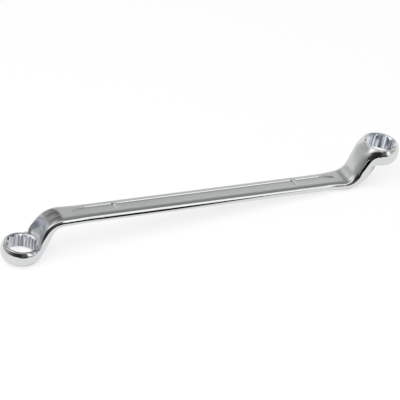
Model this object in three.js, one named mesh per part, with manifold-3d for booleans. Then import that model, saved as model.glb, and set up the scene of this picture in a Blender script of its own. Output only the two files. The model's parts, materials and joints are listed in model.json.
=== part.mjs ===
// Double-ended offset ring spanner: a 16 mm and a 17 mm twelve-point ring on cranked necks, one at each end
// of a flat shank. The real tool is one steel forging. It is divided here at four flat cuts into its five
// functional sections, which meet face to face: two ring heads, two necks and the shank.
// Millimetres, +Z up. The spanner lies as it does on a bench, on the foot of its small ring and the knee of
// its large neck, with the small ring towards -X. The origin is on the bench, under the middle of the tool.
import * as THREE from "three";
import { mergeVertices } from "three/addons/utils/BufferGeometryUtils.js";
import Module from "manifold-3d";

const wasm = await Module();
wasm.setup();

// Driving dimensions of the whole tool
const OVERALL_LENGTH = 265;
const SHANK_WIDTH = 14.8;
const SHANK_THICKNESS = 5.9;
const FACE_CROWN = 0.35; // how much lower the broad faces are at their sides than along their middle
const FACE_FLAT_SHARE = 0.5; // of their width, along the middle, over which those faces are flat
const EDGE_RADIUS = 2.5; // long edges of the shank and necks
const ROOT_EDGE_RADIUS = 1.2; // what that radius comes down to on a neck's inner face, at its ring
const FLARE_LENGTH = 22; // before each knee, over which the shank widens and thickens into the neck
const BORE_CLEARANCE = 0.15; // added to the width across flats, so that a ring slips over its nut
const MOUTH_LIP = 0.45; // how far the lead-in cone at each mouth opens beyond the bore's points
const RIM_EDGE_REACH = 1.6; // how far the rounded edge of a ring comes in over its face
const RIM_EDGE_SHARE = 0.44; // of a ring's height, how far the same edge runs down the wall
const FACING_CLEARANCE = 0.2; // how much wider than a ring its facing cutter is, in radius

// Driving dimensions of each end. The offset is from the shank's mid-plane to the ring's. The insets are from
// the ring's axis, along the shank, to the corners of the neck's centre line.
const SMALL = {
  acrossFlats: 16,
  ringWall: 2.93, // outside the bore's points
  ringHeight: 9.9,
  offset: 20,
  kneeInset: 16.4,
  kneeRadius: 10.5,
  footInset: 6.8,
  footRadius: 5,
  neckWidth: 16.2,
  rootThickness: 7.8,
  rootCrown: 2.4, // how far the neck's outer face swells round the ring
  rootAngle: 62, // degrees to each side of the neck at which its plan outline leaves the ring's circle
};
const LARGE = {
  acrossFlats: 17,
  ringWall: 3.1,
  ringHeight: 10.8,
  offset: 21,
  kneeInset: 16.4,
  kneeRadius: 13,
  footInset: 7.7,
  footRadius: 5,
  neckWidth: 18.5,
  rootThickness: 9.2,
  rootCrown: 2.4,
  rootAngle: 62,
};

// Recessed panels on both broad faces of the shank: a long one in the middle, a rib at each end of it, and a
// short one beyond each rib that runs out to a point
const PANEL_LAND = 4.5; // from a panel's long side to the shank's
const PANEL_DEPTH = 0.45;
const PANEL_CORNER = 1;
const MIDDLE_PANEL_LENGTH = 122;
const RIB_WIDTH = 1.6;
const END_PANEL_LENGTH = 28;
const END_PANEL_POINT = 9; // the part of that length that narrows to the point

// How finely round forms are divided
const BORE_POINTS = 12;
const RING_FACETS = 72;
const RIM_STEPS = 7;
const EDGE_STEPS = 6;
const FACE_STEPS = 6;
const FLARE_STEPS = 7;
const KNEE_STEPS = 9;
const SLOPE_STEPS = 4;
const FOOT_STEPS = 5;
const PANEL_STEPS = 6;
const TILT_HALVINGS = 40;
const CUT_OVERRUN = 1; // a cutting solid passes the surface that it opens by this much
const MERGE_DISTANCE = 0.0001;
const EDGE_LIMIT_SHARE = 0.49; // of the thickness, the most that an edge radius may take
const CROWN_PEAK_SHARE = 2 / 3; // of the way from knee to foot, where the neck's outer face swells most
const CROWN_REACH_SHARE = 0.92; // of the half width there, how far in from each side that face is rounded
const POINT_FULLNESS_SHARE = 2 / 3; // of a panel's narrowing length, where its sides turn in to the point

const CHROME = 0xc4c7ca;
const POLISHED = 0.12; // roughness of the ring heads
const SATIN = 0.3; // roughness of the necks and the shank

const radians = THREE.MathUtils.degToRad;
const lerp = THREE.MathUtils.lerp;
const smoothstep = THREE.MathUtils.smoothstep;

const apothemOf = (end) => (end.acrossFlats + BORE_CLEARANCE) / 2;
const pointRadiusOf = (end) => apothemOf(end) / Math.cos(Math.PI / 6);
const ringRadiusOf = (end) => pointRadiusOf(end) + end.ringWall;

// A closed solid for joining and cutting, from any geometry whose faces close up
function solidOf(geometry) {
  const bare = geometry.clone();
  bare.deleteAttribute("normal");
  bare.deleteAttribute("uv");
  const merged = mergeVertices(bare, MERGE_DISTANCE);
  const mesh = new wasm.Mesh({
    numProp: 3,
    vertProperties: merged.attributes.position.array,
    triVerts: new Uint32Array(merged.index.array),
  });
  return new wasm.Manifold(mesh);
}

function geometryOf(solid) {
  const mesh = solid.getMesh();
  const geometry = new THREE.BufferGeometry();
  geometry.setAttribute("position", new THREE.BufferAttribute(mesh.vertProperties, mesh.numProp));
  geometry.setIndex(new THREE.BufferAttribute(mesh.triVerts, 1));
  const faceted = geometry.toNonIndexed();
  faceted.computeVertexNormals();
  return faceted;
}

// A solid through cross sections that all have the same number of points, closed by a flat face at each end
function loft(sections) {
  const count = sections[0].length;
  const positions = [];
  const indices = [];
  for (const section of sections) {
    for (const point of section) positions.push(point.x, point.y, point.z);
  }
  for (let i = 0; i + 1 < sections.length; i += 1) {
    for (let j = 0; j < count; j += 1) {
      const next = (j + 1) % count;
      const a = i * count + j;
      const b = i * count + next;
      indices.push(a, b, a + count, b, b + count, a + count);
    }
  }
  const last = (sections.length - 1) * count;
  for (let j = 1; j + 1 < count; j += 1) {
    indices.push(0, j + 1, j);
    indices.push(last, last + j, last + j + 1);
  }
  const geometry = new THREE.BufferGeometry();
  geometry.setAttribute("position", new THREE.Float32BufferAttribute(positions, 3));
  geometry.setIndex(indices);
  return geometry;
}

// A round solid about the vertical axis. Its outline is pairs of radius and height, from the axis back to it.
function turned(outline) {
  const points = outline.map(([radius, height]) => new THREE.Vector2(radius, height));
  const geometry = new THREE.LatheGeometry(points, RING_FACETS);
  return geometry.rotateX(Math.PI / 2);
}

// The centre line of one end in its own frame: +X from the shank to the ring, +Z towards the ring's side, and
// the origin in the middle of the shank. It runs along the shank, round the knee, up the slope and round the
// foot to the ring's axis.
function crankOf(end) {
  const ringX = (OVERALL_LENGTH - ringRadiusOf(SMALL) - ringRadiusOf(LARGE)) / 2;
  const slope = Math.atan2(end.offset, end.kneeInset - end.footInset);
  const kneeReach = end.kneeRadius * Math.tan(slope / 2);
  const footReach = end.footRadius * Math.tan(slope / 2);
  const flareX = ringX - end.kneeInset - FLARE_LENGTH;
  const kneeX = ringX - end.kneeInset - kneeReach;
  const footX = ringX - end.footInset + footReach;
  const stations = [];
  let run = 0;
  const add = (x, z, tilt) => {
    const before = stations.at(-1);
    if (before) run += Math.hypot(x - before.x, z - before.z);
    stations.push({ x, z, tilt, run });
  };
  for (let i = 0; i < FLARE_STEPS; i += 1) add(lerp(flareX, kneeX, i / FLARE_STEPS), 0, 0);
  for (let i = 0; i <= KNEE_STEPS; i += 1) {
    const tilt = (slope * i) / KNEE_STEPS;
    add(kneeX + end.kneeRadius * Math.sin(tilt), end.kneeRadius * (1 - Math.cos(tilt)), tilt);
  }
  const slopeStart = stations.at(-1);
  const slopeEndX = footX - end.footRadius * Math.sin(slope);
  const slopeEndZ = end.offset - end.footRadius * (1 - Math.cos(slope));
  for (let i = 1; i < SLOPE_STEPS; i += 1) {
    const share = i / SLOPE_STEPS;
    add(lerp(slopeStart.x, slopeEndX, share), lerp(slopeStart.z, slopeEndZ, share), slope);
  }
  for (let i = 0; i <= FOOT_STEPS; i += 1) {
    const tilt = slope * (1 - i / FOOT_STEPS);
    add(footX - end.footRadius * Math.sin(tilt), end.offset - end.footRadius * (1 - Math.cos(tilt)), tilt);
  }
  const footRun = run;
  add(ringX, end.offset, 0);
  return { ringX, stations, footRun, kneeRun: stations[FLARE_STEPS].run };
}

// Half the plan width of one end at a distance in from the ring's axis. The outline leaves the ring's circle
// at the root angle, curves in to the neck's own width, and then runs out to the shank's.
function halfWidthAt(end, inset) {
  const radius = ringRadiusOf(end);
  const sine = Math.sin(radians(end.rootAngle));
  const cosine = Math.cos(radians(end.rootAngle));
  const neck = end.neckWidth / 2;
  const filletRadius = (radius * sine - neck) / (1 - sine);
  const waist = (radius + filletRadius) * cosine;
  if (inset <= radius * cosine) return radius * sine;
  if (inset < waist) return neck + filletRadius - Math.sqrt(filletRadius ** 2 - (waist - inset) ** 2);
  const flared = smoothstep(inset, waist, end.kneeInset + FLARE_LENGTH);
  return lerp(neck, SHANK_WIDTH / 2, flared);
}

// The cross section of one end at a station of its centre line. Both faces are slightly crowned. Towards the ring
// the outer face swells and rounds over, and the inner edges get tighter. The points run anticlockwise as seen
// from the ring, and a corner's angle is 0 at the side and 90 degrees at the face.
function sectionAt(end, crank, station) {
  const swell = Math.min(station.run / crank.footRun, 1) ** 2;
  const half = lerp(SHANK_THICKNESS, end.rootThickness, swell) / 2;
  const way = THREE.MathUtils.clamp((station.run - crank.kneeRun) / (crank.footRun - crank.kneeRun), 0, 1);
  const fullness = ((way / CROWN_PEAK_SHARE) ** 2 * (1 - way)) / (1 - CROWN_PEAK_SHARE);
  const crown = end.rootCrown * fullness;
  const outerEdge = Math.min(EDGE_RADIUS, 2 * half * EDGE_LIMIT_SHARE);
  const innerEdge = Math.min(lerp(EDGE_RADIUS, ROOT_EDGE_RADIUS, way), outerEdge);
  const outerReach = (halfWidth) => lerp(outerEdge, CROWN_REACH_SHARE * halfWidth, fullness);
  const points = [];
  const add = (side, face, height, inwardOf) => {
    const halfWidth = halfWidthAt(end, crank.ringX - station.x + face * height * Math.sin(station.tilt));
    const inward = inwardOf(halfWidth);
    const fall = Math.max(1 - inward / halfWidth - FACE_FLAT_SHARE, 0) / (1 - FACE_FLAT_SHARE);
    const lowered = face * (height - FACE_CROWN * fall ** 2);
    const x = station.x - lowered * Math.sin(station.tilt);
    const z = station.z + lowered * Math.cos(station.tilt);
    points.push(new THREE.Vector3(x, side * (halfWidth - inward), z));
  };
  const corner = (side, face, first, last) => {
    const edge = face > 0 ? outerEdge : innerEdge;
    const drop = face > 0 ? edge + crown : edge;
    const reach = face > 0 ? outerReach : () => edge;
    for (let i = 0; i <= EDGE_STEPS; i += 1) {
      const angle = radians(lerp(first, last, i / EDGE_STEPS));
      const height = half - edge + drop * Math.sin(angle);
      add(side, face, height, (halfWidth) => reach(halfWidth) * (1 - Math.cos(angle)));
    }
  };
  const middle = (first, face) => {
    const height = face > 0 ? half + crown : half;
    const reach = face > 0 ? outerReach : () => innerEdge;
    for (let i = 1; i < FACE_STEPS; i += 1) {
      const across = first * (1 - (2 * i) / FACE_STEPS);
      const side = across < 0 ? -1 : 1;
      add(side, face, height, (halfWidth) => halfWidth - Math.abs(across) * (halfWidth - reach(halfWidth)));
    }
  };
  corner(1, 1, 0, 90);
  middle(1, 1);
  corner(-1, 1, 90, 0);
  corner(-1, -1, 0, 90);
  middle(-1, -1);
  corner(1, -1, 90, 0);
  return points;
}

// The ring before its bore is cut: faces square to the axis, and edges rounded as a quarter of an ellipse
function ringBlank(end) {
  const radius = ringRadiusOf(end);
  const half = end.ringHeight / 2;
  const outline = [[0, -half]];
  for (let i = 0; i <= RIM_STEPS; i += 1) {
    const angle = (i / RIM_STEPS) * (Math.PI / 2);
    const reach = RIM_EDGE_REACH * (1 - Math.sin(angle));
    outline.push([radius - reach, -half + RIM_EDGE_SHARE * end.ringHeight * (1 - Math.cos(angle))]);
  }
  for (const [wallRadius, height] of outline.slice(1).reverse()) outline.push([wallRadius, -height]);
  outline.push([0, half]);
  return turned(outline);
}

// A prism through the ring with twelve points: two hexagons set thirty degrees apart
function boreCutter(end) {
  const valleyRadius = apothemOf(end) / Math.cos(Math.PI / BORE_POINTS);
  const outline = new THREE.Shape();
  for (let i = 0; i < 2 * BORE_POINTS; i += 1) {
    const radius = i % 2 ? valleyRadius : pointRadiusOf(end);
    const angle = (i * Math.PI) / BORE_POINTS;
    const place = [radius * Math.cos(angle), radius * Math.sin(angle)];
    if (i === 0) outline.moveTo(...place);
    else outline.lineTo(...place);
  }
  const depth = end.ringHeight + 2 * CUT_OVERRUN;
  return new THREE.ExtrudeGeometry(outline, { depth, bevelEnabled: false }).translate(0, 0, -depth / 2);
}

// The lead-in cone at one mouth of the bore, at 45 degrees, on the side that face gives as 1 or -1
function mouthCutter(end, face) {
  const half = end.ringHeight / 2;
  const mouth = pointRadiusOf(end) + MOUTH_LIP;
  const cone = turned([
    [0, half - mouth],
    [mouth + CUT_OVERRUN, half + CUT_OVERRUN],
    [0, half + CUT_OVERRUN],
  ]);
  return face > 0 ? cone : cone.rotateX(Math.PI);
}

// The path of the cutter that faces the ring on the neck's side. It leaves a scoop in the neck.
function facingCutter(end) {
  const radius = ringRadiusOf(end) + FACING_CLEARANCE;
  const length = end.offset + end.kneeRadius;
  const cutter = new THREE.CylinderGeometry(radius, radius, length, RING_FACETS).rotateX(Math.PI / 2);
  return cutter.translate(0, 0, -end.ringHeight / 2 - length / 2);
}

// One end in its own frame. The head takes in the half of the slope next to it, and the neck takes in the flare,
// the knee and the other half. The panels' points reach into the flare.
function endOf(end) {
  const crank = crankOf(end);
  const sections = crank.stations.map((station) => sectionAt(end, crank, station));
  const cut = FLARE_STEPS + KNEE_STEPS + SLOPE_STEPS / 2;
  const atRing = (geometry) => solidOf(geometry.translate(crank.ringX, 0, end.offset));
  const scoop = atRing(facingCutter(end));
  const neck = solidOf(loft(sections.slice(0, cut + 1)))
    .subtract(scoop)
    .subtract(solidOf(panelCutter(endPanel())))
    .subtract(solidOf(panelCutter(endPanel()).rotateX(Math.PI)));
  const head = solidOf(loft(sections.slice(cut)))
    .add(atRing(ringBlank(end)))
    .subtract(scoop)
    .subtract(atRing(boreCutter(end)))
    .subtract(atRing(mouthCutter(end, 1)))
    .subtract(atRing(mouthCutter(end, -1)));
  return { head, neck, start: sections[0] };
}

// Panel outlines, seen from above: x runs along the shank, and y across it
function middlePanel() {
  const x = MIDDLE_PANEL_LENGTH / 2;
  const y = SHANK_WIDTH / 2 - PANEL_LAND;
  const outline = new THREE.Shape();
  outline.moveTo(-x + PANEL_CORNER, -y);
  outline.lineTo(x - PANEL_CORNER, -y);
  outline.quadraticCurveTo(x, -y, x, -y + PANEL_CORNER);
  outline.lineTo(x, y - PANEL_CORNER);
  outline.quadraticCurveTo(x, y, x - PANEL_CORNER, y);
  outline.lineTo(-x + PANEL_CORNER, y);
  outline.quadraticCurveTo(-x, y, -x, y - PANEL_CORNER);
  outline.lineTo(-x, -y + PANEL_CORNER);
  outline.quadraticCurveTo(-x, -y, -x + PANEL_CORNER, -y);
  return outline;
}

function endPanel() {
  const start = MIDDLE_PANEL_LENGTH / 2 + RIB_WIDTH;
  const tip = start + END_PANEL_LENGTH;
  const shoulder = tip - END_PANEL_POINT;
  const full = lerp(shoulder, tip, POINT_FULLNESS_SHARE);
  const y = SHANK_WIDTH / 2 - PANEL_LAND;
  const outline = new THREE.Shape();
  outline.moveTo(start + PANEL_CORNER, -y);
  outline.lineTo(shoulder, -y);
  outline.quadraticCurveTo(full, -y, tip, 0);
  outline.quadraticCurveTo(full, y, shoulder, y);
  outline.lineTo(start + PANEL_CORNER, y);
  outline.quadraticCurveTo(start, y, start, y - PANEL_CORNER);
  outline.lineTo(start, -y + PANEL_CORNER);
  outline.quadraticCurveTo(start, -y, start + PANEL_CORNER, -y);
  return outline;
}

function panelCutter(outline) {
  const depth = PANEL_DEPTH + CUT_OVERRUN;
  const options = { depth, bevelEnabled: false, curveSegments: PANEL_STEPS };
  return new THREE.ExtrudeGeometry(outline, options).translate(0, 0, SHANK_THICKNESS / 2 - PANEL_DEPTH);
}

// The straight shank between the cross sections at which the two necks start, with its panels
function shankSolid(smallStart, largeStart) {
  const mirrored = smallStart.map((point) => new THREE.Vector3(-point.x, point.y, point.z));
  let shank = solidOf(loft([mirrored, largeStart]));
  for (const faceTurn of [0, Math.PI]) {
    for (const endTurn of [0, Math.PI]) {
      const cutter = panelCutter(endPanel()).rotateZ(endTurn).rotateX(faceTurn);
      shank = shank.subtract(solidOf(cutter));
    }
    shank = shank.subtract(solidOf(panelCutter(middlePanel()).rotateX(faceTurn)));
  }
  return shank;
}

// The tilt at which the lowest points of the two halves of the tool are equally low
function restingTilt(tool) {
  const point = new THREE.Vector3();
  const places = [];
  tool.updateMatrixWorld(true);
  tool.traverse((part) => {
    if (!part.isMesh) return;
    const position = part.geometry.attributes.position;
    for (let i = 0; i < position.count; i += 1) {
      point.fromBufferAttribute(position, i).applyMatrix4(part.matrixWorld);
      places.push([point.x, point.z]);
    }
  });
  const lowest = (tilt, side) => {
    const half = places.filter(([x]) => x * side > 0);
    const heights = half.map(([x, z]) => z * Math.cos(tilt) - x * Math.sin(tilt));
    return heights.reduce((least, height) => Math.min(least, height), Infinity);
  };
  let level = 0;
  let steep = Math.PI / 6;
  for (let i = 0; i < TILT_HALVINGS; i += 1) {
    const middle = (level + steep) / 2;
    if (lowest(middle, 1) > lowest(middle, -1)) level = middle;
    else steep = middle;
  }
  return level;
}

function named(name, solid, roughness) {
  const steel = new THREE.MeshStandardMaterial({ color: CHROME, metalness: 1, roughness });
  const mesh = new THREE.Mesh(geometryOf(solid), steel);
  mesh.name = name;
  return mesh;
}

const small = endOf(SMALL);
const large = endOf(LARGE);

const smallEnd = new THREE.Group();
smallEnd.add(named("small_ring_head", small.head, POLISHED));
smallEnd.add(named("small_neck", small.neck, SATIN));
smallEnd.rotation.y = Math.PI;

const largeEnd = new THREE.Group();
largeEnd.add(named("large_ring_head", large.head, POLISHED));
largeEnd.add(named("large_neck", large.neck, SATIN));

const tool = new THREE.Group();
tool.add(smallEnd, largeEnd, named("shank", shankSolid(small.start, large.start), SATIN));
tool.rotation.y = restingTilt(tool);

const group = new THREE.Group();
group.add(tool);
const bounds = new THREE.Box3().setFromObject(group, true);
tool.position.set(-(bounds.min.x + bounds.max.x) / 2, 0, -bounds.min.z);

export default group;
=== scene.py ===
import json
import math
from dataclasses import dataclass

import bpy
import numpy as np
from mathutils import Matrix, Vector


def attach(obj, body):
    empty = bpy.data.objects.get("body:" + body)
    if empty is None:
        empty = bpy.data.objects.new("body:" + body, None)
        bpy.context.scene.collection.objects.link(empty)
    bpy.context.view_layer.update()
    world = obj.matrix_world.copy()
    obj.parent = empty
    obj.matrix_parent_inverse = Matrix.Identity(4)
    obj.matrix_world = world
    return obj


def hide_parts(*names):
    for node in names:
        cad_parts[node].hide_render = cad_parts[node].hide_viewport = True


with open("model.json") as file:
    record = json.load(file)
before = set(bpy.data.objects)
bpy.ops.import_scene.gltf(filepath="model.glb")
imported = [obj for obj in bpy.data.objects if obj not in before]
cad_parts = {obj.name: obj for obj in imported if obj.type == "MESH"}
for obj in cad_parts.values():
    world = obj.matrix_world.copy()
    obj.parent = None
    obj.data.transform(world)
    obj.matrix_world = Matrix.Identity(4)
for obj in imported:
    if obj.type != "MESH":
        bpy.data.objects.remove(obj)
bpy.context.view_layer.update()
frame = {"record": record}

# The spanner is one seamless forging, so one mesh stands for all of its CAD sections. Its surface is worked
# out as a signed distance field in the tool's own frame: millimetres, +X from the small ring to the large,
# +Z up, and the origin in the middle of the shank. The field is contoured, and the mesh is then set down
# where the CAD model rests.
MM = 0.001
OVERALL_LENGTH = 265.0
SHANK_WIDTH = 14.8
SHANK_THICKNESS = 5.9
EDGE_RADIUS = 2.5
FLARE_LENGTH = 22.0
BORE_CLEARANCE = 0.15
BORE_FILLET = 0.12
MOUTH_LIP = 0.45
RIM_EDGE_REACH = 1.6
RIM_EDGE_SHARE = 0.44  # of a ring's height, how far down its wall bows in towards each face
RIM_FILLET = 0.25
FACING_CLEARANCE = 0.2
FACING_FILLET = 0.5  # on the edge that the facing cutter leaves
CROWN_ROUNDING_SHARE = 0.92  # of the neck's half width, rounded off on its outer face where it swells most
CROWN_PEAK_SHARE = 2 / 3  # of the way from knee to ring, where the outer face swells most
ROOT_FILLET = 1.4  # where the neck runs into the ring
ROOT_EDGE_RADIUS = 1.2  # on the neck's inner face, where it meets the ring
FACE_CROWN = 0.35  # how much lower the broad faces are at their sides than along their middle
FACE_FLAT_SHARE = 0.5  # of their width, along the middle, over which those faces are flat
FACE_POINT_RADIUS = 10.2  # from the small ring's axis to the points that the record gives on its faces

PANEL_LAND = 4.5  # from the shank's side to a panel's outline
PANEL_DEPTH = 0.6
PANEL_CORNER = 1.0
PANEL_DRAFT = 30.0  # degrees that a panel's walls lean back
PANEL_FILLET = 0.05
MIDDLE_PANEL_LENGTH = 122.0
RIB_WIDTH = 1.6
END_PANEL_LENGTH = 28.0
END_PANEL_POINT = 9.0  # how much of an end panel's length its point takes up

# The grid on which the field is contoured, in millimetres
FINE_STEP = 0.3
PANEL_STEP = 0.45
PLAIN_STEP = 1.5
WALL_STEP = 0.1
PANEL_ZONE = 58.0  # from the middle, where the plain stretch of the shank ends
FINE_ZONE = 88.0  # from the middle, where the necks' grid starts
GRID_MARGIN = 1.0

# How the contour is taken
GRADIENT_STEP = 0.01  # millimetres to each side of a point
CROSSING_STEPS = 4
SETTLING_STEPS = 2
CREASE_SHARE = 0.1  # of a cell's strongest direction, above which a second one counts as a crease
LEAST_SLOPE = 0.3  # taken where the field's slope is less, so that no vertex moves too far
CREASE_ANGLE = 14.0  # degrees
CORNER_INSET = 0.35  # of the way from a face's corner to its centre, where the corner's normal is taken
TINY = 1e-9

# Where the finishes lie, in millimetres
EDGE_ZONE = 2.3  # how far in from the sides the edges are buffed
EDGE_BLEND = 1.2
PANEL_WALL_ZONE = 0.5  # width of the buffed zone along the panels' walls
GROUND_START = 0.2  # from the start of the knee, along the centre line
GROUND_STOP = -4.8  # from its end
GROUND_SIDE = -1.5  # place across the neck where the ground patch starts soonest
GROUND_BOW = 10.0
GROUND_START_BLEND = 1.0
GROUND_STOP_BLEND = 2.0
SCOOP_BLEND = 1.5
SCOOP_TOP_BLEND = 0.375
INNER_SIDE_BLEND = 1.0  # how far below the centre line the inner face's zones are in full
BORE_ZONE_MARGIN = MOUTH_LIP / 4  # beyond the bore's points

CHROME = (0.695, 0.712, 0.708, 1)
SATIN_ROUGHNESS = 0.4

# The other finishes, with painted shade in the scoop and painted reflections in the bore: the zone, its
# colours where its marks are dark and light, and its roughness
FINISHES_AND_PAINTED_LIGHT = [
    ("buffed", None, (0.7, 0.71, 0.715), 0.1),
    ("ground", (0.24, 0.237, 0.233), (0.43, 0.424, 0.418), 0.35),
    # The scoop's darker, bluish colour is painted shade: the dark reflection of the ring and of the floor
    # beside it. Its roughness is real.
    ("scoop_painted_shade", None, (0.39, 0.42, 0.465), 0.32),
    # The bore's dark and light streaks are painted reflections of the shaded and the lit floor around it.
    ("bore_marks_and_painted_reflections", (0.26, 0.29, 0.34), (0.92, 0.94, 0.97), 0.08),
]

# Marks in the metal, each in one finish's zone or everywhere: size along the tool, across it and upwards,
# and depth, all in metres
MARKS = [
    ("ground", (0.009, 0.0007, 0.012), 0.00008),
    # The bore's marks are real bumps, and their noise also lays out the bore's painted reflections.
    ("bore_marks_and_painted_reflections", (0.0011, 0.0011, 0.03), 0.00012),
    ("everywhere", (0.011, 0.011, 0.011), 0.0001),
]
MARK_DETAIL = 2.0
MARK_DARK_BELOW = 0.38  # of the marks' noise, which runs from 0 to 1
MARK_LIGHT_ABOVE = 0.62

# The camera: angles in degrees, places in metres, lens and sensor in millimetres
CAMERA_AZIMUTH = 27.1603
CAMERA_ELEVATION = 35.9888
CAMERA_ROLL = -4.0405
CAMERA_DISTANCE = 0.963926
CAMERA_AIM = (-0.0048325, 0.0007791, 0.0119170)
CAMERA_LENS = 140.486
CAMERA_SENSOR = 36.0

# The floor: lengths and places in metres
FLOOR_SIDE = 8.0
FLOOR_GAP = 0.00005
FLOOR_COLOUR = (0.9, 0.9, 0.9, 1)
FLOOR_GLOW = 1.0
FLOOR_GLOW_SHARE = 0.75  # of the floor's own light in what the camera sees of it
FLOOR_REFLECTED = 0.95  # brightness of the white part's own light in the chrome
FLOOR_REFLECTED_SHARE = 0.7  # of that light in what the chrome shows there; the rest is the lit floor
FLOOR_EDGE = -0.015  # where the white part ends in front of the object
FLOOR_EDGE_BLUR = 0.013
FLOOR_EDGE_MIDDLE = -0.014  # place along X where that edge comes nearest
FLOOR_EDGE_BOW = 3.2  # how fast the edge bows away from the object towards its two ends
# A painted shadow under each ring in the floor's light seen in the chrome: where it starts to fade and where
# it ends, from a ring's axis, and the share of the light left in its middle
PAINTED_RING_SHADOW_START = 0.008  # from a ring's axis, where the floor's darker middle starts to fade
PAINTED_RING_SHADOW_END = 0.014
PAINTED_RING_SHADOW_SHARE = 0.65

# Brightness by degrees from the far horizon, over the top, to the horizon on the camera's side
STUDIO_SCALE = [
    (0, 0.92),
    (24, 0.92),
    (31, 0.9),
    (38, 0.5),
    (46, 0.3),
    (60, 0.28),
    (100, 0.27),
    (113, 0.32),
    (118, 0.7),
    (122, 1.4),
    (127, 1.4),
    (132, 0.8),
    (137, 0.1),
    (142, 0.02),
    (180, 0.02),
]

# Brightness near the horizon, by degrees to the right of the far side
HORIZON_SCALE = [
    (-180, 0.02),
    (-155, 0.05),
    (-130, 0.16),
    (-110, 0.36),
    (-90, 0.5),
    (-72, 0.52),
    (-58, 0.62),
    (-42, 0.95),
    (-10, 0.98),
    (20, 0.96),
    (60, 0.7),
    (95, 0.55),
    (111, 0.5),
    (115, 0.75),
    (119, 1.35),
    (126, 1.35),
    (136, 0.15),
    (180, 0.02),
]
HORIZON_BLEND = (26, 40)  # degrees up, from the horizon's scale to the one over the top

# Cards round the studio: degrees to the right of the far side, degrees up, radius, blur and brightness
STUDIO_CARDS = [
    (-90, 60, 22, 20, 1.4),
    (-2, 50, 15, 12, 0.05),
    (155, 2, 14, 10, 0.1),
]
WHITE = (1, 1, 1, 1)

# The key lamp: distance and size in metres, and power in watts
KEY_DIRECTION = (-0.4, -0.3, 1.0)
KEY_DISTANCE = 1.2
KEY_SIZE = 1.2
KEY_POWER = 12.0


@dataclass(frozen=True)
class End:
    """One end of the tool. The names are those of the CAD source, and lengths are millimetres."""

    across_flats: float
    ring_wall: float
    ring_height: float
    offset: float
    knee_inset: float
    knee_radius: float
    foot_inset: float
    foot_radius: float
    neck_width: float
    root_thickness: float
    root_crown: float
    root_angle: float
    ring_x: float = 0.0

    @property
    def apothem(self):
        return (self.across_flats + BORE_CLEARANCE) / 2

    @property
    def point_radius(self):
        return self.apothem / math.cos(math.pi / 6)

    @property
    def ring_radius(self):
        return self.point_radius + self.ring_wall

    @property
    def slope(self):
        return math.atan2(self.offset, self.knee_inset - self.foot_inset)

    @property
    def flare_x(self):
        return self.ring_x - self.knee_inset - FLARE_LENGTH

    @property
    def knee_x(self):
        return self.ring_x - self.knee_inset - self.knee_radius * math.tan(self.slope / 2)

    @property
    def foot_x(self):
        return self.ring_x - self.foot_inset + self.foot_radius * math.tan(self.slope / 2)

    @property
    def knee_run(self):
        return self.knee_x - self.flare_x

    @property
    def slope_run(self):
        return self.knee_run + self.knee_radius * self.slope

    @property
    def slope_start(self):
        return (
            self.knee_x + self.knee_radius * math.sin(self.slope),
            self.knee_radius * (1 - math.cos(self.slope)),
        )

    @property
    def slope_length(self):
        start_x, start_z = self.slope_start
        end_x = self.foot_x - self.foot_radius * math.sin(self.slope)
        end_z = self.offset - self.foot_radius * (1 - math.cos(self.slope))
        return math.hypot(end_x - start_x, end_z - start_z)

    @property
    def foot_run(self):
        return self.slope_run + self.slope_length + self.foot_radius * self.slope


def with_ring_places(small, large):
    ring_x = (OVERALL_LENGTH - small.ring_radius - large.ring_radius) / 2
    return [End(**{**end.__dict__, "ring_x": ring_x}) for end in (small, large)]


SMALL, LARGE = with_ring_places(
    End(
        across_flats=16.0,
        ring_wall=2.93,
        ring_height=9.9,
        offset=20.0,
        knee_inset=16.4,
        knee_radius=10.5,
        foot_inset=6.8,
        foot_radius=5.0,
        neck_width=16.2,
        root_thickness=7.8,
        root_crown=2.4,
        root_angle=66.0,
    ),
    End(
        across_flats=17.0,
        ring_wall=3.1,
        ring_height=10.8,
        offset=21.0,
        knee_inset=16.4,
        knee_radius=13.0,
        foot_inset=7.7,
        foot_radius=5.0,
        neck_width=18.5,
        root_thickness=9.2,
        root_crown=2.4,
        root_angle=67.0,
    ),
)
HALVES = ((SMALL, -1), (LARGE, 1))  # each end, and which way along X it lies


def mix(a, b, share):
    return a + (b - a) * share


def eased(value, low, high):
    t = np.clip((value - low) / (high - low), 0, 1)
    return t * t * (3 - 2 * t)


def smooth_min(a, b, radius):
    """Joins two fields with a fillet of about that radius."""
    near = np.maximum(radius - np.abs(a - b), 0)
    return np.minimum(a, b) - near * near / (4 * radius)


def smooth_max(a, b, radius):
    return -smooth_min(-a, -b, radius)


def elliptical_corner(p, q, reach, drop):
    """Distance to a corner rounded as a quarter ellipse, from how far p and q are past its two starts."""
    p = np.maximum(p, 0)
    q = np.maximum(q, 0)
    k0 = np.hypot(p / reach, q / drop)
    k1 = np.hypot(p / reach**2, q / drop**2)
    return k0 * (k0 - 1) / np.maximum(k1, TINY)


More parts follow.
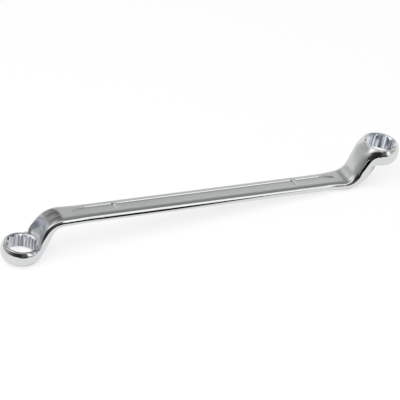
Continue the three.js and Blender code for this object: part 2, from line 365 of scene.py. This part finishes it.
def along_crank(end, x, z):
    """For each point, the run along the end's centre line to its nearest place, and the height above it."""
    slope = end.slope
    start_x, start_z = end.slope_start

    shank_x = np.minimum(x, end.knee_x)
    run = shank_x - end.flare_x
    height = z + 0 * x
    distance = np.hypot(x - shank_x, z)

    def take(new_run, new_height, new_distance):
        nonlocal run, height, distance
        nearer = new_distance < distance
        run = np.where(nearer, new_run, run)
        height = np.where(nearer, new_height, height)
        distance = np.where(nearer, new_distance, distance)

    knee_px, knee_pz = x - end.knee_x, z - end.knee_radius
    knee_angle = np.arctan2(knee_px, -knee_pz)
    knee_height = end.knee_radius - np.hypot(knee_px, knee_pz)
    on_knee = (knee_angle >= 0) & (knee_angle <= slope)
    knee_distance = np.where(on_knee, np.abs(knee_height), np.inf)
    take(end.knee_run + end.knee_radius * knee_angle, knee_height, knee_distance)

    slope_u = (x - start_x) * math.cos(slope) + (z - start_z) * math.sin(slope)
    slope_height = (z - start_z) * math.cos(slope) - (x - start_x) * math.sin(slope)
    slope_on = np.clip(slope_u, 0, end.slope_length)
    take(end.slope_run + slope_on, slope_height, np.hypot(slope_height, slope_u - slope_on))

    foot_px, foot_pz = x - end.foot_x, z - (end.offset - end.foot_radius)
    foot_angle = np.arctan2(-foot_px, foot_pz)
    foot_height = np.hypot(foot_px, foot_pz) - end.foot_radius
    on_foot = (foot_angle >= 0) & (foot_angle <= slope)
    foot_distance = np.where(on_foot, np.abs(foot_height), np.inf)
    take(end.foot_run - end.foot_radius * foot_angle, foot_height, foot_distance)

    tail_x = np.maximum(x, end.foot_x)
    take(end.foot_run + tail_x - end.foot_x, z - end.offset, np.hypot(x - tail_x, z - end.offset))
    return run, height


def half_width(end, x):
    """Half the plan width: the ring at the root angle, a curve in to the neck, then out to the shank."""
    radius = end.ring_radius
    root_angle = math.radians(end.root_angle)
    sine, cosine = math.sin(root_angle), math.cos(root_angle)
    neck = end.neck_width / 2
    fillet = (radius * sine - neck) / (1 - sine)
    waist = (radius + fillet) * cosine
    inset = end.ring_x - x
    curve = neck + fillet - np.sqrt(np.maximum(fillet**2 - np.maximum(waist - inset, 0) ** 2, 0))
    flared = mix(neck, SHANK_WIDTH / 2, eased(inset, waist, end.knee_inset + FLARE_LENGTH))
    return np.where(inset <= radius * cosine, radius * sine, np.where(inset < waist, curve, flared))


def fall_of_face(y, width):
    """How much lower a broad face is at y than along its middle, where half its width is given."""
    past_flat = np.clip(np.abs(y) / width - FACE_FLAT_SHARE, 0, 1 - FACE_FLAT_SHARE)
    return FACE_CROWN * (past_flat / (1 - FACE_FLAT_SHARE)) ** 2


def neck_field(end, x, y, z):
    """The shank and the neck: a rounded section that swells on its outer face towards the ring."""
    run, height = along_crank(end, x, z)
    swell = np.clip(run / end.foot_run, 0, 1) ** 2
    half_thickness = mix(SHANK_THICKNESS, end.root_thickness, swell) / 2
    way = np.clip((run - end.knee_run) / (end.foot_run - end.knee_run), 0, 1)
    fullness = (way / CROWN_PEAK_SHARE) ** 2 * (1 - way) / (1 - CROWN_PEAK_SHARE)
    crown = end.root_crown * fullness
    width = half_width(end, x)
    top_reach = mix(EDGE_RADIUS, CROWN_ROUNDING_SHARE * width, fullness)
    top_drop = EDGE_RADIUS + crown
    lowered = fall_of_face(y, width)
    above = height - (half_thickness - lowered - EDGE_RADIUS)
    below = -height - (half_thickness - lowered - EDGE_RADIUS)
    side = np.abs(y) - width

    def corner(q, reach, drop):
        p = side + reach
        rounded = elliptical_corner(p, q, reach, drop)
        return np.where((p > 0) & (q > 0), rounded, np.maximum(side, q - drop))

    upper = corner(above, top_reach, top_drop)
    inner_edge = mix(EDGE_RADIUS, ROOT_EDGE_RADIUS, way)
    lower = corner(below - EDGE_RADIUS + inner_edge, inner_edge, inner_edge)
    section = np.where(height > 0, upper, lower)
    return np.maximum(section, x - end.ring_x)


def ring_field(end, across, up):
    """The ring before its bore is cut, from the distance off its axis and the height over its middle."""
    drop = RIM_EDGE_SHARE * end.ring_height
    share = np.maximum(np.abs(up) - end.ring_height / 2 + drop, 0) / drop
    lean = 2 * RIM_EDGE_REACH * share / drop
    wall = (across - end.ring_radius + RIM_EDGE_REACH * share**2) / np.sqrt(1 + lean**2)
    return smooth_max(wall, np.abs(up) - end.ring_height / 2, RIM_FILLET)


def bore_field(end, x, y, across, up):
    """The twelve-point bore, as two hexagons thirty degrees apart, with a lead-in cone at each mouth."""

    def hexagon(first):
        sides = [math.radians(first + 60 * i) for i in range(3)]
        return np.maximum.reduce([np.abs(x * math.cos(a) + y * math.sin(a)) for a in sides]) - end.apothem

    star = np.minimum(hexagon(0), hexagon(30))
    mouth = end.point_radius + MOUTH_LIP
    inward = end.ring_height / 2 - np.abs(up)
    cone = np.maximum((across - mouth + inward) * math.sqrt(0.5), -inward - MOUTH_LIP)
    return np.minimum(star, cone)


def end_field(end, x, y, z):
    """One half of the tool in that end's frame: +X towards its ring, +Z towards the ring's side."""
    ring_x, up = x - end.ring_x, z - end.offset
    across = np.hypot(ring_x, y)
    face = up - end.ring_height / 2
    body = smooth_min(neck_field(end, x, y, z), ring_field(end, across, up), ROOT_FILLET)
    body = np.maximum(body, face)
    facing = np.maximum(across - end.ring_radius - FACING_CLEARANCE, up + end.ring_height / 2)
    body = smooth_max(body, -facing, FACING_FILLET)
    return smooth_max(body, -bore_field(end, ring_x, y, across, up), BORE_FILLET)


def rounded_rectangle(x, y, half_x, half_y, corner):
    p, q = np.abs(x) - half_x + corner, np.abs(y) - half_y + corner
    return np.hypot(np.maximum(p, 0), np.maximum(q, 0)) + np.minimum(np.maximum(p, q), 0) - corner


def panel_plan(x, y):
    """Distance to the panels' outlines in plan: a long one, and past each rib a short, pointed one."""
    half = SHANK_WIDTH / 2 - PANEL_LAND
    along = np.abs(x)
    middle = rounded_rectangle(x, y, MIDDLE_PANEL_LENGTH / 2, half, PANEL_CORNER)
    start = MIDDLE_PANEL_LENGTH / 2 + RIB_WIDTH
    tip = start + END_PANEL_LENGTH
    centre = (start + tip) / 2
    short = rounded_rectangle(along - centre, y, END_PANEL_LENGTH / 2, half, PANEL_CORNER)
    narrowing = np.clip((along - (tip - END_PANEL_POINT)) / END_PANEL_POINT, 0, 1)
    point = (np.abs(y) - half * (1 - narrowing**2)) * math.cos(math.radians(PANEL_DRAFT))
    return np.minimum(middle, np.maximum(short, point))


def panel_field(x, y, z):
    """The space of the panels on both faces, with walls that lean back by the draft."""
    lowered = fall_of_face(y, SHANK_WIDTH / 2)
    depth = np.abs(z) - (SHANK_THICKNESS / 2 - lowered - PANEL_DEPTH)
    lean = math.radians(PANEL_DRAFT)
    wall = panel_plan(x, y) * math.cos(lean) - depth * math.sin(lean)
    return np.maximum(smooth_max(wall, -depth, PANEL_FILLET), depth - 2 * PANEL_DEPTH)


def half_field(end, way, x, y, z):
    """One half of the whole tool in the tool's frame. The small end is the same form turned round about Y."""
    body = end_field(end, way * x, y, way * z)
    return smooth_max(body, -panel_field(x, y, z), PANEL_FILLET)


def in_half(way, x):
    """Which places along X belong to the end that lies that way."""
    return x < 0 if way < 0 else x >= 0


def tool_field(x, y, z):
    x, y, z = np.broadcast_arrays(x, y, z)
    values = np.empty(x.shape)
    for end, way in HALVES:
        chosen = in_half(way, x)
        values[chosen] = half_field(end, way, x[chosen], y[chosen], z[chosen])
    return values


def gradients(points):
    """Unit outward normals of the field at the points, and the field's slope there."""
    parts = []
    for axis in range(3):
        step = np.zeros(3)
        step[axis] = GRADIENT_STEP
        parts.append(tool_field(*(points + step).T) - tool_field(*(points - step).T))
    slope = np.stack(parts, 1) / (2 * GRADIENT_STEP)
    length = np.linalg.norm(slope, axis=1, keepdims=True)
    return slope / np.maximum(length, TINY), length[:, 0]


def mirrored_lines(spans):
    """Even steps out from zero, span by span of start, stop and step, and the same on the other side."""
    steps = [np.linspace(a, b, round((b - a) / step), endpoint=False) for a, b, step in spans]
    half = np.concatenate(steps)
    return np.concatenate([-half[:0:-1], half])


def refined(reach, low, high):
    """Even steps on both sides of zero, finer between low and high where the panels' walls are."""
    return mirrored_lines([(0, low, FINE_STEP), (low, high, WALL_STEP), (high, reach, FINE_STEP)])


def grid_lines():
    """The grid's planes: fine round the necks and rings, and coarse along the plain stretch of the shank."""
    reach = OVERALL_LENGTH / 2 + GRID_MARGIN
    wide = LARGE.ring_radius + GRID_MARGIN
    tall = max(end.offset + end.ring_height / 2 for end, _ in HALVES) + GRID_MARGIN
    panel_side = SHANK_WIDTH / 2 - PANEL_LAND
    face = SHANK_THICKNESS / 2
    plain = (0, PANEL_ZONE, PLAIN_STEP)
    panels = (PANEL_ZONE, FINE_ZONE, PANEL_STEP)
    fine = (FINE_ZONE, reach, FINE_STEP)
    xs = mirrored_lines([plain, panels, fine])
    ys = refined(wide, panel_side - 2 * PANEL_DEPTH, panel_side + PANEL_DEPTH)
    zs = refined(tall, face - 2 * PANEL_DEPTH, face + PANEL_DEPTH)
    return xs, ys, zs


def grid_values(xs, ys, zs):
    """The field at the grid's points, one half of the tool at a time."""
    values = np.empty((len(xs), len(ys), len(zs)), np.float32)
    for end, way in HALVES:
        chosen = in_half(way, xs)
        grid = np.ix_(xs[chosen], ys, zs)
        values[chosen] = half_field(end, way, *grid)
    return values


def crossings(values, lines, axis):
    """The grid edges along one axis that cross the surface: their lower corners, and where they cross."""
    inside = values < 0
    low = [slice(None)] * 3
    high = [slice(None)] * 3
    low[axis], high[axis] = slice(None, -1), slice(1, None)
    found = np.argwhere(inside[tuple(low)] != inside[tuple(high)])
    ahead = found.copy()
    ahead[:, axis] += 1
    near = np.stack([lines[i][found[:, i]] for i in range(3)], 1)
    far = np.stack([lines[i][ahead[:, i]] for i in range(3)], 1)
    outward = inside[tuple(found.T)]
    near_value = values[tuple(found.T)].astype(float)
    far_value = values[tuple(ahead.T)].astype(float)
    for _ in range(CROSSING_STEPS):
        share = (near_value / (near_value - far_value))[:, None]
        point = mix(near, far, share)
        value = tool_field(*point.T)
        same = (value < 0) == (near_value < 0)
        near = np.where(same[:, None], point, near)
        near_value = np.where(same, value, near_value)
        far = np.where(same[:, None], far, point)
        far_value = np.where(same, far_value, value)
    return found, point, outward


def crossed_cells(lines, values):
    """For every crossing: the four cells round it as a face, its place and the surface's normal there."""
    shape = values.shape
    strides = np.array([shape[1] * shape[2], shape[2], 1])
    faces, cells, points, normals = [], [], [], []
    for axis in range(3):
        found, point, outward = crossings(values, lines, axis)
        normal, _ = gradients(point)
        b, c = (axis + 1) % 3, (axis + 2) % 3
        ring = []
        for back_b, back_c in ((1, 1), (0, 1), (0, 0), (1, 0)):
            cell = found.copy()
            cell[:, b] -= back_b
            cell[:, c] -= back_c
            ring.append(cell @ strides)
        ring = np.stack(ring, 1)
        faces.append(np.where(outward[:, None], ring, ring[:, ::-1]))
        cells.append(ring.ravel())
        points.append(np.repeat(point, 4, 0))
        normals.append(np.repeat(normal, 4, 0))
    return [np.concatenate(parts) for parts in (faces, cells, points, normals)]


def contour(lines):
    """Dual contouring: one vertex in each grid cell that the surface passes, placed on its creases too."""
    values = grid_values(*lines)
    faces, cells, points, normals = crossed_cells(lines, values)
    names, index = np.unique(cells, return_inverse=True)
    count = np.bincount(index)

    def total(amounts):
        return np.stack([np.bincount(index, amounts[:, i]) for i in range(amounts.shape[1])], 1)

    mean = total(points) / count[:, None]
    offsets = points - mean[index]
    matrix = total((normals[:, :, None] * normals[:, None, :]).reshape(-1, 9)).reshape(-1, 3, 3)
    target = total(normals * (normals * offsets).sum(1)[:, None])
    sizes, axes = np.linalg.eigh(matrix)
    kept = sizes > CREASE_SHARE * sizes[:, -1:]
    inverse = np.where(kept, 1 / np.where(kept, sizes, 1), 0)
    shift = np.einsum("nij,nj,nkj,nk->ni", axes, inverse, axes, target)
    corner = np.stack(np.unravel_index(names, values.shape), 1)
    low = np.stack([lines[i][corner[:, i]] for i in range(3)], 1)
    high = np.stack([lines[i][corner[:, i] + 1] for i in range(3)], 1)
    vertices = np.clip(mean + shift, low, high)
    smooth = kept.sum(1) == 1
    for _ in range(SETTLING_STEPS):
        direction, slope = gradients(vertices[smooth])
        distance = tool_field(*vertices[smooth].T) / np.maximum(slope, LEAST_SLOPE)
        vertices[smooth] -= direction * distance[:, None]
    return vertices, np.searchsorted(names, faces)


def corner_normals(vertices, faces):
    """Exact normals for each corner of each face: shared where it is smooth, and split at its creases."""
    at_vertex, _ = gradients(vertices)
    centres = vertices[faces].mean(1, keepdims=True)
    inner = mix(vertices[faces], centres, CORNER_INSET).reshape(-1, 3)
    at_corner, _ = gradients(inner)
    flat = faces.ravel()
    agreement = (at_corner * at_vertex[flat]).sum(1)
    least = np.ones(len(vertices))
    np.minimum.at(least, flat, agreement)
    creased = least < math.cos(math.radians(CREASE_ANGLE))
    return np.where(creased[flat][:, None], at_corner, at_vertex[flat])


def resting_place():
    """Where the CAD model rests, read from the points that its record gives on the small ring's two faces."""
    mounts = {mount["name"]: mount for mount in frame["record"]["mounts"]}
    outer, inner = mounts["small_ring_outer_face"], mounts["small_ring_neck_side_face"]
    axis = Vector(inner["axis"])
    turn = Matrix.Rotation(math.atan2(axis.x, axis.z), 4, "Y")
    middle = (Vector(outer["pos_m"]) + Vector(inner["pos_m"])) / 2
    in_tool = Vector((-(SMALL.ring_x + FACE_POINT_RADIUS), 0, -SMALL.offset)) * MM
    return Matrix.Translation(middle - turn @ in_tool) @ turn


def spanner_mesh():
    vertices, faces = contour(grid_lines())
    normals = corner_normals(vertices, faces)
    place = np.array(resting_place())
    mesh = bpy.data.meshes.new("spanner")
    mesh.from_pydata((vertices * MM @ place[:3, :3].T + place[:3, 3]).tolist(), [], faces.tolist())
    mesh.polygons.foreach_set("use_smooth", np.ones(len(mesh.polygons), bool))
    mesh.normals_split_custom_set((normals @ place[:3, :3].T).tolist())
    # The zones of the finishes and of the painted shade and reflections, for the material
    for name, values in finish_and_painted_light_zones(vertices).items():
        attribute = mesh.attributes.new(name, "FLOAT", "POINT")
        attribute.data.foreach_set("value", values.astype(np.float32))
    return mesh


def finish_and_painted_light_zones(points):
    """Where each finish, the scoop's painted shade and the bore's painted reflections lie, from 0 to 1, for
    every point of the mesh.
    """
    zones = {name: np.zeros(len(points)) for name, *_ in FINISHES_AND_PAINTED_LIGHT}
    for end, way in HALVES:
        chosen = way * points[:, 0] > 0
        x, y, z = (points[chosen] * (way, 1, way)).T
        for name, values in end_zones(end, x, y, z).items():
            zones[name][chosen] = values
    return zones


def end_zones(end, x, y, z):
    """Buffed edges and walls, the ground patch, the scoop with its painted shade and the bore with its
    painted reflections, in the frame of one end.
    """
    run, height = along_crank(end, x, z)
    across, up = np.hypot(x - end.ring_x, y), z - end.offset
    inner_side = eased(-height, 0, INNER_SIDE_BLEND)
    edge = eased(np.abs(y) - half_width(end, x), -EDGE_ZONE, -EDGE_ZONE + EDGE_BLEND)
    wall = ring_wall_zone(end, across, up)
    return {
        "buffed": np.maximum.reduce([edge, wall, panel_wall_zone(x, y)]),
        "ground": ground_zone(end, run, y) * inner_side * (1 - edge),
        # Where the scoop's painted shade lies
        "scoop_painted_shade": scoop_zone(end, across, up) * inner_side,
        # Where the bore's marks and painted reflections lie
        "bore_marks_and_painted_reflections": bore_zone(end, across, up),
    }


def ring_wall_zone(end, across, up):
    out_to_wall = eased(-across, -end.ring_radius - EDGE_BLEND, -end.ring_radius)
    return out_to_wall * eased(end.ring_height / 2 - np.abs(up), -EDGE_BLEND, 0)


def panel_wall_zone(x, y):
    """The panels' walls along their straight stretch, without the points at the two ends."""
    middle_of_wall = PANEL_DEPTH * math.tan(math.radians(PANEL_DRAFT)) / 2
    beside = np.abs(panel_plan(x, y) - middle_of_wall)
    straight = MIDDLE_PANEL_LENGTH / 2 + RIB_WIDTH + END_PANEL_LENGTH - END_PANEL_POINT
    on_straight = eased(-x, -straight, -straight + EDGE_BLEND)
    return eased(-beside, -PANEL_WALL_ZONE, -PANEL_WALL_ZONE / 2) * on_straight


def ground_zone(end, run, y):
    start = end.knee_run + GROUND_START + GROUND_BOW * ((y - GROUND_SIDE) / SHANK_WIDTH) ** 2
    stop = end.slope_run + GROUND_STOP
    return eased(run, start, start + GROUND_START_BLEND) * (1 - eased(run, stop, stop + GROUND_STOP_BLEND))


def scoop_zone(end, across, up):
    reach = end.ring_radius + FACING_CLEARANCE
    in_reach = eased(-across, -reach - SCOOP_BLEND, -reach)
    return in_reach * eased(-up - end.ring_height / 2, 0, SCOOP_TOP_BLEND)


def bore_zone(end, across, up):
    in_radius = across < end.point_radius + BORE_ZONE_MARGIN
    return (in_radius & (np.abs(up) < end.ring_height / 2 - MOUTH_LIP)).astype(float)


def node(tree, kind, inputs=(), **settings):
    """Adds a node. A value in inputs is set on its socket, and a socket in inputs is linked to it."""
    made = tree.nodes.new(kind)
    for name, value in settings.items():
        setattr(made, name, value)
    for key, value in dict(inputs).items():
        if isinstance(value, bpy.types.NodeSocket):
            tree.links.new(value, made.inputs[key])
        else:
            made.inputs[key].default_value = value
    return made


def maths(tree, operation, *values, clamp=False):
    sockets = dict(enumerate(values))
    return node(tree, "ShaderNodeMath", sockets, operation=operation, use_clamp=clamp).outputs[0]


def squared(tree, value):
    return maths(tree, "MULTIPLY", value, value)


def smooth_step(tree, value, low, high, least=0.0):
    """Rises smoothly from the least to 1 as the value goes from low to high."""
    sockets = {"Value": value, "From Min": low, "From Max": high, "To Min": least}
    return node(tree, "ShaderNodeMapRange", sockets, interpolation_type="SMOOTHSTEP").outputs["Result"]


def ramp(tree, factor, stops):
    """A smooth scale of greys or colours over places from 0 to 1."""
    made = node(tree, "ShaderNodeValToRGB", {"Fac": factor})
    scale = made.color_ramp
    scale.interpolation = "EASE"
    for place, _ in stops[1:-1]:
        scale.elements.new(place)
    for element, (place, colour) in zip(scale.elements, stops):
        element.position = place
        rgb = colour if isinstance(colour, tuple) else (colour,) * 3
        element.color = (*rgb, 1)
    return made.outputs["Color"]


# A Mix node has sockets named A and B for each kind of value, so those in use are given by their places
NUMBER_A, NUMBER_B = 2, 3
COLOUR_A, COLOUR_B = 6, 7


def mixed_colour(tree, share, first, second):
    sockets = {"Factor": share, COLOUR_A: first, COLOUR_B: second}
    return node(tree, "ShaderNodeMix", sockets, data_type="RGBA").outputs["Result"]


def mixed_shader(tree, share, first, second):
    return node(tree, "ShaderNodeMixShader", {0: share, 1: first, 2: second}).outputs[0]


def emission(tree, strength):
    return node(tree, "ShaderNodeEmission", {"Color": WHITE, "Strength": strength}).outputs[0]


def mark_noises(tree):
    """The noise of each kind of mark, stretched along the tool's own directions."""
    in_tool = tuple(resting_place().to_euler())
    place = node(tree, "ShaderNodeTexCoord").outputs["Object"]
    noises = {}
    for name, size, _ in MARKS:
        turned = {"Vector": place, "Rotation": in_tool, "Scale": size}
        mapped = node(tree, "ShaderNodeMapping", turned, vector_type="TEXTURE").outputs[0]
        sockets = {"Vector": mapped, "Scale": 1.0, "Detail": MARK_DETAIL}
        noises[name] = node(tree, "ShaderNodeTexNoise", sockets).outputs["Fac"]
    return noises


def chrome_material():
    """Chrome plate, satin on the broad faces, with each finish's colour, roughness and marks in its zone; the
    scoop's colour is painted shade, and the bore's dark and light streaks are painted reflections.
    """
    material = bpy.data.materials.new("chrome")
    material.use_nodes = True
    tree = material.node_tree
    shader = tree.nodes["Principled BSDF"]
    shader.inputs["Metallic"].default_value = 1.0
    noises = mark_noises(tree)

    colour, rough = CHROME, SATIN_ROUGHNESS
    zones = {}
    for name, dark, light, zone_roughness in FINISHES_AND_PAINTED_LIGHT:
        zones[name] = node(tree, "ShaderNodeAttribute", attribute_name=name).outputs["Fac"]
        # In the scoop this colour is painted shade, and in the bore its streaks are painted reflections, not
        # the metal's own.
        zone_colour = (*light, 1)
        if dark:
            zone_colour = ramp(tree, noises[name], [(MARK_DARK_BELOW, dark), (MARK_LIGHT_ABOVE, light)])
        colour = mixed_colour(tree, zones[name], colour, zone_colour)
        sockets = {"Factor": zones[name], NUMBER_A: rough, NUMBER_B: zone_roughness}
        rough = node(tree, "ShaderNodeMix", sockets).outputs[0]
    tree.links.new(colour, shader.inputs["Base Color"])
    tree.links.new(rough, shader.inputs["Roughness"])

    normal = None
    for name, _, depth in MARKS:
        height = maths(tree, "MULTIPLY", noises[name], zones[name]) if name in zones else noises[name]
        bump = node(tree, "ShaderNodeBump", {"Strength": 1.0, "Distance": depth, "Height": height})
        if normal:
            tree.links.new(normal, bump.inputs["Normal"])
        normal = bump.outputs["Normal"]
    tree.links.new(normal, shader.inputs["Normal"])
    return material


def add_spanner():
    spanner = bpy.data.objects.new("spanner", spanner_mesh())
    bpy.context.scene.collection.objects.link(spanner)
    spanner.data.materials.append(chrome_material())
    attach(spanner, "root")
    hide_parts("small_ring_head", "small_neck", "shank", "large_neck", "large_ring_head")


def add_camera():
    """The photographer's camera: turned round the object, raised, rolled a little, aimed at its middle."""
    around, up, roll = (math.radians(angle) for angle in (CAMERA_AZIMUTH, CAMERA_ELEVATION, CAMERA_ROLL))
    ahead = Vector((math.sin(around) * math.cos(up), math.cos(around) * math.cos(up), -math.sin(up)))
    level = Vector((math.cos(around), -math.sin(around), 0))
    downward = ahead.cross(level)
    right = level * math.cos(roll) + downward * math.sin(roll)
    down = ahead.cross(right)
    turn = Matrix((right, -down, -ahead)).transposed().to_4x4()
    camera = bpy.data.objects.new("camera", bpy.data.cameras.new("camera"))
    camera.data.lens = CAMERA_LENS
    camera.data.sensor_width = CAMERA_SENSOR
    camera.matrix_world = Matrix.Translation(Vector(CAMERA_AIM) - ahead * CAMERA_DISTANCE) @ turn
    bpy.context.scene.collection.objects.link(camera)
    bpy.context.scene.camera = camera


def floor_brightness(tree):
    """How white the floor is in the chrome: 1 behind its bowed edge, less under the rings where a shadow is
    painted, and 0 in front.
    """
    place = node(tree, "ShaderNodeNewGeometry").outputs["Position"]
    axes = node(tree, "ShaderNodeSeparateXYZ", {"Vector": place}).outputs
    aside = maths(tree, "SUBTRACT", axes["X"], FLOOR_EDGE_MIDDLE)
    bowed = maths(tree, "MULTIPLY", squared(tree, aside), FLOOR_EDGE_BOW)
    depth = maths(tree, "ADD", axes["Y"], bowed)
    bright = smooth_step(tree, depth, FLOOR_EDGE - FLOOR_EDGE_BLUR, FLOOR_EDGE)
    # A painted shadow under each ring, darkest round its axis
    beside = maths(tree, "SUBTRACT", maths(tree, "ABSOLUTE", axes["X"]), LARGE.ring_x * MM)
    off_axis = maths(tree, "SQRT", maths(tree, "ADD", squared(tree, beside), squared(tree, axes["Y"])))
    painted_ring_shadow = smooth_step(tree, off_axis, PAINTED_RING_SHADOW_START, PAINTED_RING_SHADOW_END, PAINTED_RING_SHADOW_SHARE)
    return maths(tree, "MULTIPLY", bright, painted_ring_shadow)


def floor_material():
    """White for the camera by its own light, partly white in the chrome, and plain for all other light."""
    material = bpy.data.materials.new("floor")
    material.use_nodes = True
    tree = material.node_tree
    tree.nodes.clear()
    output = node(tree, "ShaderNodeOutputMaterial")
    lit = node(tree, "ShaderNodeBsdfDiffuse", {"Color": FLOOR_COLOUR}).outputs[0]
    seen = mixed_shader(tree, FLOOR_GLOW_SHARE, lit, emission(tree, FLOOR_GLOW))
    bright = floor_brightness(tree)
    reflected = emission(tree, maths(tree, "MULTIPLY", bright, FLOOR_REFLECTED))
    share = maths(tree, "MULTIPLY_ADD", bright, FLOOR_REFLECTED_SHARE - 1, 1.0)
    mirrored = mixed_shader(tree, share, lit, reflected)
    path = node(tree, "ShaderNodeLightPath")
    glossy = mixed_shader(tree, path.outputs["Is Glossy Ray"], lit, mirrored)
    final = mixed_shader(tree, path.outputs["Is Camera Ray"], glossy, seen)
    tree.links.new(final, output.inputs["Surface"])
    return material


def add_floor():
    """A plain white floor, which keeps the object's shadow."""
    mesh = bpy.data.meshes.new("floor")
    side = FLOOR_SIDE / 2
    corners = [(-side, -side, 0), (side, -side, 0), (side, side, 0), (-side, side, 0)]
    mesh.from_pydata(corners, [], [(0, 1, 2, 3)])
    mesh.materials.append(floor_material())
    floor = bpy.data.objects.new("floor", mesh)
    floor.location.z = -FLOOR_GAP
    bpy.context.scene.collection.objects.link(floor)


def add_world():
    """The studio round the object: a scale of greys over the top, another along the horizon, and cards."""
    world = bpy.data.worlds.new("studio")
    bpy.context.scene.world = world
    world.use_nodes = True
    tree = world.node_tree
    tree.nodes.clear()
    output = node(tree, "ShaderNodeOutputWorld")
    direction = node(tree, "ShaderNodeTexCoord").outputs["Generated"]
    around = math.radians(CAMERA_AZIMUTH)

    def along(vector):
        sockets = {0: direction, 1: vector}
        return node(tree, "ShaderNodeVectorMath", sockets, operation="DOT_PRODUCT").outputs["Value"]

    far = along((math.sin(around), math.cos(around), 0))
    up = along((0, 0, 1))
    angle = maths(tree, "ARCTAN2", up, far)
    share = maths(tree, "DIVIDE", angle, math.pi, clamp=True)
    overhead = ramp(tree, share, [(degrees / 180, tone) for degrees, tone in STUDIO_SCALE])
    bearing = maths(tree, "ARCTAN2", along((math.cos(around), -math.sin(around), 0)), far)
    turn = maths(tree, "MULTIPLY_ADD", bearing, 0.5 / math.pi, 0.5)
    low_light = ramp(tree, turn, [(degrees / 360 + 0.5, tone) for degrees, tone in HORIZON_SCALE])
    blend_start, blend_end = (math.sin(math.radians(degrees)) for degrees in HORIZON_BLEND)
    light = mixed_colour(tree, smooth_step(tree, up, blend_start, blend_end), low_light, overhead)
    for side, height, radius, blur, tone in STUDIO_CARDS:
        bearing = around + math.radians(side)
        rise = math.radians(height)
        level = math.cos(rise)
        towards = along((math.sin(bearing) * level, math.cos(bearing) * level, math.sin(rise)))
        nearest, farthest = (math.cos(math.radians(radius + way * blur / 2)) for way in (-1, 1))
        on_card = smooth_step(tree, towards, farthest, nearest)
        light = mixed_colour(tree, on_card, light, (tone, tone, tone, 1))
    path = node(tree, "ShaderNodeLightPath")
    seen = mixed_colour(tree, path.outputs["Is Camera Ray"], light, WHITE)
    background = node(tree, "ShaderNodeBackground", {"Color": seen, "Strength": 1.0})
    tree.links.new(background.outputs[0], output.inputs["Surface"])


def add_key_lamp():
    """A soft square lamp aimed at the object's middle. The chrome reflects the studio, not the lamp."""
    data = bpy.data.lights.new("key", "AREA")
    data.size = KEY_SIZE
    data.energy = KEY_POWER
    lamp = bpy.data.objects.new("key", data)
    lamp.location = Vector(KEY_DIRECTION).normalized() * KEY_DISTANCE
    lamp.rotation_euler = Vector(KEY_DIRECTION).to_track_quat("Z", "Y").to_euler()
    lamp.visible_glossy = False
    bpy.context.scene.collection.objects.link(lamp)


add_camera()
add_floor()
add_world()
add_key_lamp()
add_spanner()
bpy.context.scene.view_settings.view_transform = "Standard"
